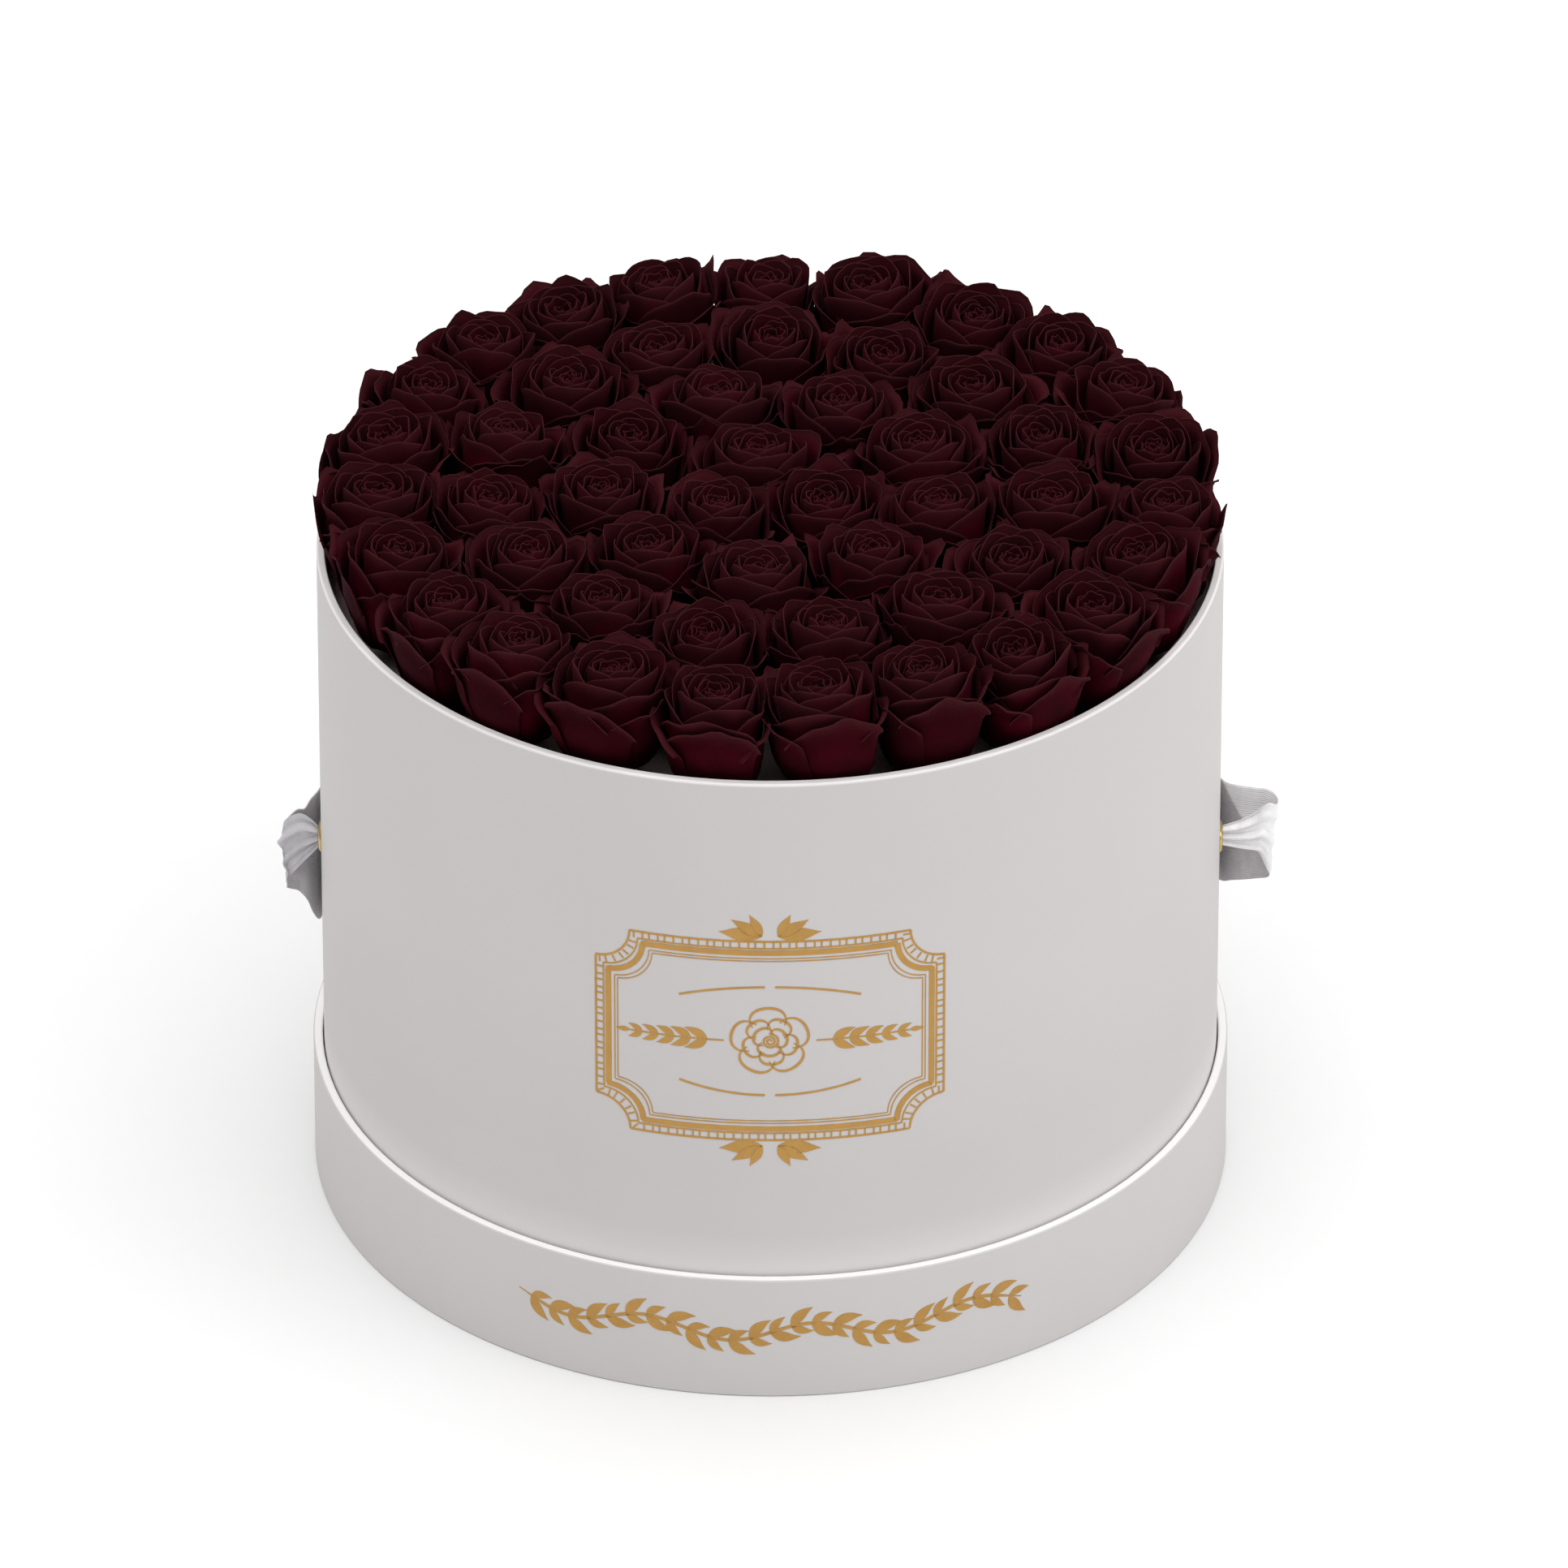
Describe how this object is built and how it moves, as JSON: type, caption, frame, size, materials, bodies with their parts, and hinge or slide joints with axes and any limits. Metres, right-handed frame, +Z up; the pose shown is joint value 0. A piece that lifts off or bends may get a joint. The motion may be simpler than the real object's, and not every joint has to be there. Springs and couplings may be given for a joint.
{
  "type": "round flower box",
  "caption": "Round paper-covered hat box with ribbon side handles, standing in its lid as a tray and filled with an even bed of dark red preserved roses.",
  "frame": {"origin": "middle of the underside of the lid, which stands under the box as a tray", "axes": "+Z up along the box; +X to the right of the front, through the right handle's front eyelet; -Y is the front"},
  "size_m": [0.3992, 0.3646, 0.3139],
  "materials": {
    "box_paper": "satin",
    "lid_paper": "satin",
    "white_foam": "matte",
    "floral_foam": "matte",
    "brass": "polished",
    "ribbon": "satin",
    "rose_petal": "matte",
    "gold_foil": "satin",
    "lining_paper": "matte"
  },
  "bodies": {
    "tray": {"tray_ring": "lid_paper", "tray_panel": "lid_paper"},
    "box": {"box_tube": "box_paper", "box_base": "box_paper", "filler_block": "white_foam", "foam_block": "floral_foam", "eyelets": "brass", "ribbon_knots": "ribbon", "rose_01": "rose_petal", "rose_02": "rose_petal", "rose_03": "rose_petal", "rose_04": "rose_petal", "rose_05": "rose_petal", "rose_06": "rose_petal", "rose_07": "rose_petal", "rose_08": "rose_petal", "rose_09": "rose_petal", "rose_10": "rose_petal", "rose_11": "rose_petal", "rose_12": "rose_petal", "rose_13": "rose_petal", "rose_14": "rose_petal", "rose_15": "rose_petal", "rose_16": "rose_petal", "rose_17": "rose_petal", "rose_18": "rose_petal", "rose_19": "rose_petal", "rose_20": "rose_petal", "rose_21": "rose_petal", "rose_22": "rose_petal", "rose_23": "rose_petal", "rose_24": "rose_petal", "rose_25": "rose_petal", "rose_26": "rose_petal", "rose_27": "rose_petal", "rose_28": "rose_petal", "rose_29": "rose_petal", "rose_30": "rose_petal", "rose_31": "rose_petal", "rose_32": "rose_petal", "rose_33": "rose_petal", "rose_34": "rose_petal", "rose_35": "rose_petal", "rose_36": "rose_petal", "rose_37": "rose_petal", "rose_38": "rose_petal", "rose_39": "rose_petal", "rose_40": "rose_petal", "rose_41": "rose_petal", "rose_42": "rose_petal", "rose_43": "rose_petal", "rose_44": "rose_petal", "rose_45": "rose_petal", "rose_46": "rose_petal", "rose_47": "rose_petal", "rose_48": "rose_petal", "rose_49": "rose_petal", "rose_50": "rose_petal"},
    "handle_right": {"ribbon_right": "ribbon"},
    "handle_left": {"ribbon_left": "ribbon"}
  },
  "joints": [
    {"name": "box_lift", "type": "slide", "parent": "tray", "child": "box", "axis": [0, 0, 1], "range_m": [0, 0.07]},
    {"name": "handle_right_swing", "type": "hinge", "parent": "box", "child": "handle_right", "pos_m": [0.17262, 0.03827, 0.1436], "axis": [0.2164, -0.9763, 0], "range_deg": [-35, 35]},
    {"name": "handle_left_swing", "type": "hinge", "parent": "box", "child": "handle_left", "pos_m": [-0.17262, 0.03827, 0.1436], "axis": [0.2164, 0.9763, 0], "range_deg": [-35, 35]}
  ]
}
